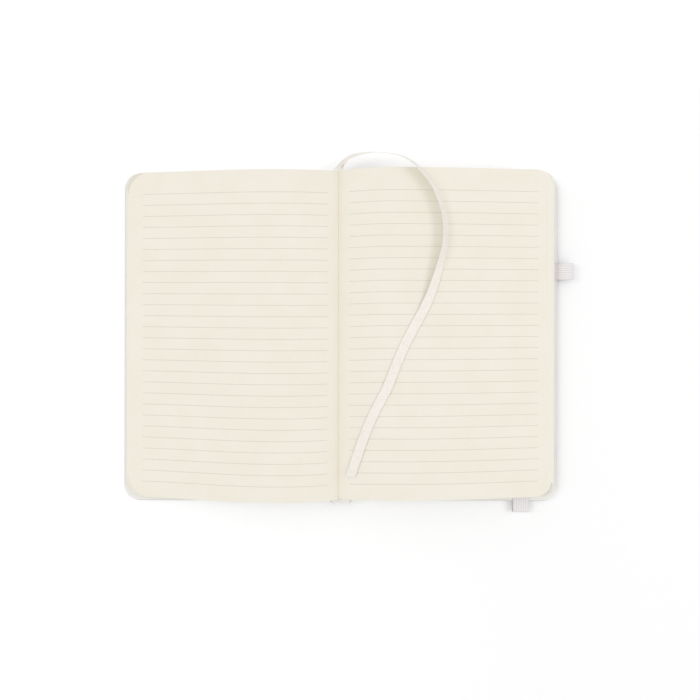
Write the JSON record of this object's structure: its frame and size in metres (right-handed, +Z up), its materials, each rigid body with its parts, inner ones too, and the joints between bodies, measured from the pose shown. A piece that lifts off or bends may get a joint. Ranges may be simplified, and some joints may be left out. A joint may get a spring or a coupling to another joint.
{
  "type": "open hard-cover notebook",
  "caption": "Open hard-cover notebook with ruled pages, a ribbon bookmark, an elastic closing band and a pen loop; each cover folds back at the spine.",
  "frame": {"origin": "middle of the open book's outline on the table, with the elastic band and pen loop counted and the ribbon not", "axes": "+X across the spread towards the back cover, +Y towards the head of the pages, +Z up from the table"},
  "size_m": [0.2886, 0.2293, 0.0265],
  "materials": {
    "page_paper": "uncoated cream writing paper",
    "line_ink": "pale grey printed ink",
    "end_paper": "smooth off-white endpaper",
    "lining_cloth": "open cotton lining cloth set in glue",
    "grey_board": "grey binder's board",
    "covering": "matt white soft-touch imitation leather",
    "elastic": "ribbed woven elastic, off-white",
    "satin_ribbon": "off-white satin"
  },
  "bodies": {
    "root": {"pages": "page_paper", "ruled_lines": "line_ink", "front_flyleaf": "end_paper", "back_flyleaf": "end_paper", "spine_lining": "lining_cloth", "spine_strip": "grey_board", "spine_covering": "covering", "ribbon_bookmark": "satin_ribbon"},
    "front_cover": {"front_board": "grey_board", "front_covering": "covering", "front_pastedown": "end_paper"},
    "back_cover": {"back_board": "grey_board", "back_covering": "covering", "back_pastedown": "end_paper", "elastic_band": "elastic", "pen_loop": "elastic"}
  },
  "joints": [
    {"name": "front_cover_hinge", "type": "hinge", "parent": "root", "child": "front_cover", "pos_m": [-0.0133, 0.00275, 0.0008], "axis": [0, -1, 0], "range_deg": [0, 90]},
    {"name": "back_cover_hinge", "type": "hinge", "parent": "root", "child": "back_cover", "pos_m": [0.0027, 0.00275, 0.0008], "axis": [0, 1, 0], "range_deg": [0, 90]}
  ]
}
